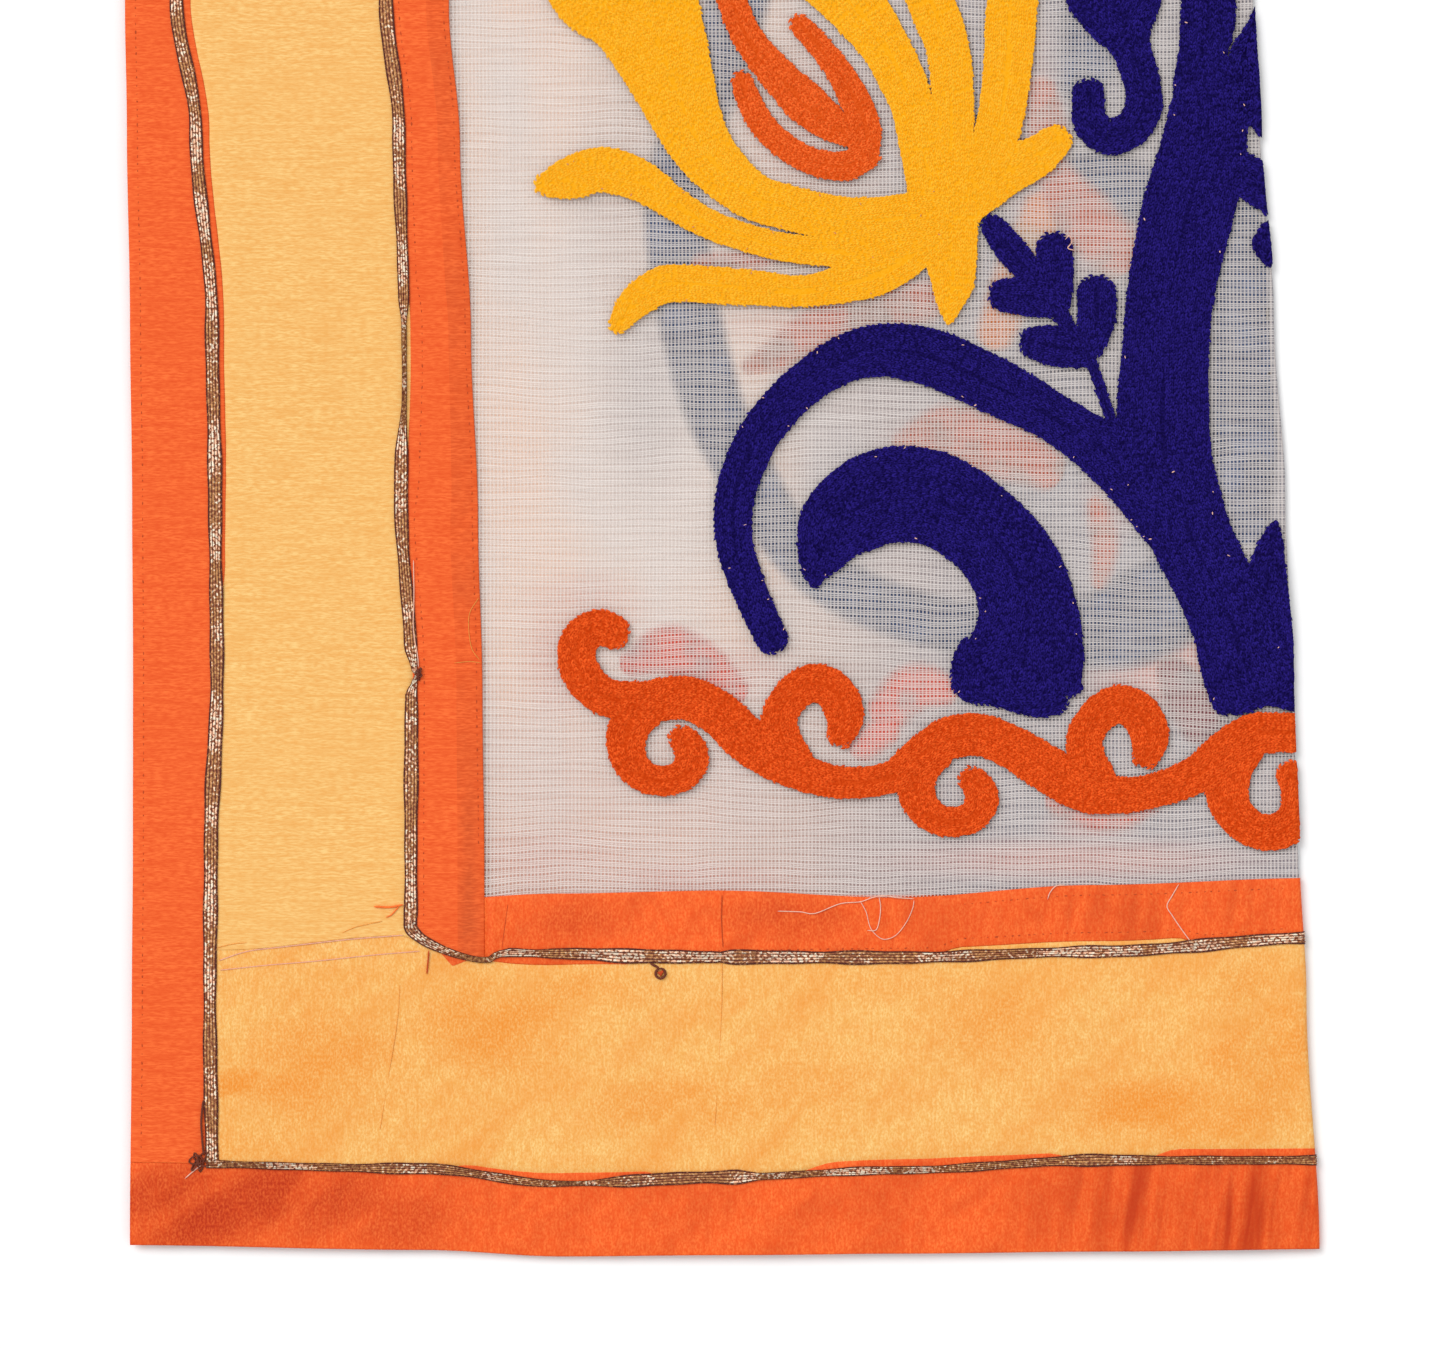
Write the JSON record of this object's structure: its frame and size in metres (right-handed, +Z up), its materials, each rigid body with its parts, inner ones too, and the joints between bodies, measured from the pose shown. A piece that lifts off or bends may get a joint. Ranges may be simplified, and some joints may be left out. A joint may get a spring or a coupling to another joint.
{
  "type": "dupatta",
  "caption": "Long scarf of sheer net with crewel-work flowers near its ends, bordered in silk strips with metallic ribbon, folded once lengthwise and laid flat.",
  "frame": {"origin": "on the surface that the folded cloth lies on, under the middle of its outline", "axes": "+Z up, +Y along the dupatta's length away from the end that the picture shows, +X towards the lengthwise fold"},
  "size_m": [0.4779, 2.3048, 0.0055],
  "materials": {
    "orange_silk": "plain woven art silk, slubbed, with a soft sheen",
    "yellow_silk": "plain woven art silk, slubbed, with a soft sheen",
    "net": "open machine-made net of fine off-white thread",
    "gota": "ribbon of woven metallic yarn, old gold with dark edges",
    "yellow_wool": "matt wool yarn in close chain stitch",
    "blue_wool": "matt wool yarn in close chain stitch",
    "orange_wool": "matt wool yarn in close chain stitch"
  },
  "bodies": {
    "root": {"net_field": "net", "front_side_outer_strip": "orange_silk", "front_side_middle_strip": "yellow_silk", "front_side_inner_strip": "orange_silk", "back_side_outer_strip": "orange_silk", "back_side_middle_strip": "yellow_silk", "back_side_inner_strip": "orange_silk", "side_outer_ribbon": "gota", "side_inner_ribbon": "gota", "near_outer_strip": "orange_silk", "near_middle_strip": "yellow_silk", "near_inner_strip": "orange_silk", "near_outer_ribbon": "gota", "near_inner_ribbon": "gota", "near_lotus": "yellow_wool", "near_lotus_heart": "orange_wool", "near_stem": "blue_wool", "near_broad_leaf": "blue_wool", "near_hook_leaf": "blue_wool", "near_vine": "orange_wool", "far_outer_strip": "orange_silk", "far_middle_strip": "yellow_silk", "far_inner_strip": "orange_silk", "far_outer_ribbon": "gota", "far_inner_ribbon": "gota", "far_lotus": "yellow_wool", "far_lotus_heart": "orange_wool", "far_stem": "blue_wool", "far_broad_leaf": "blue_wool", "far_hook_leaf": "blue_wool", "far_vine": "orange_wool"}
  },
  "joints": []
}
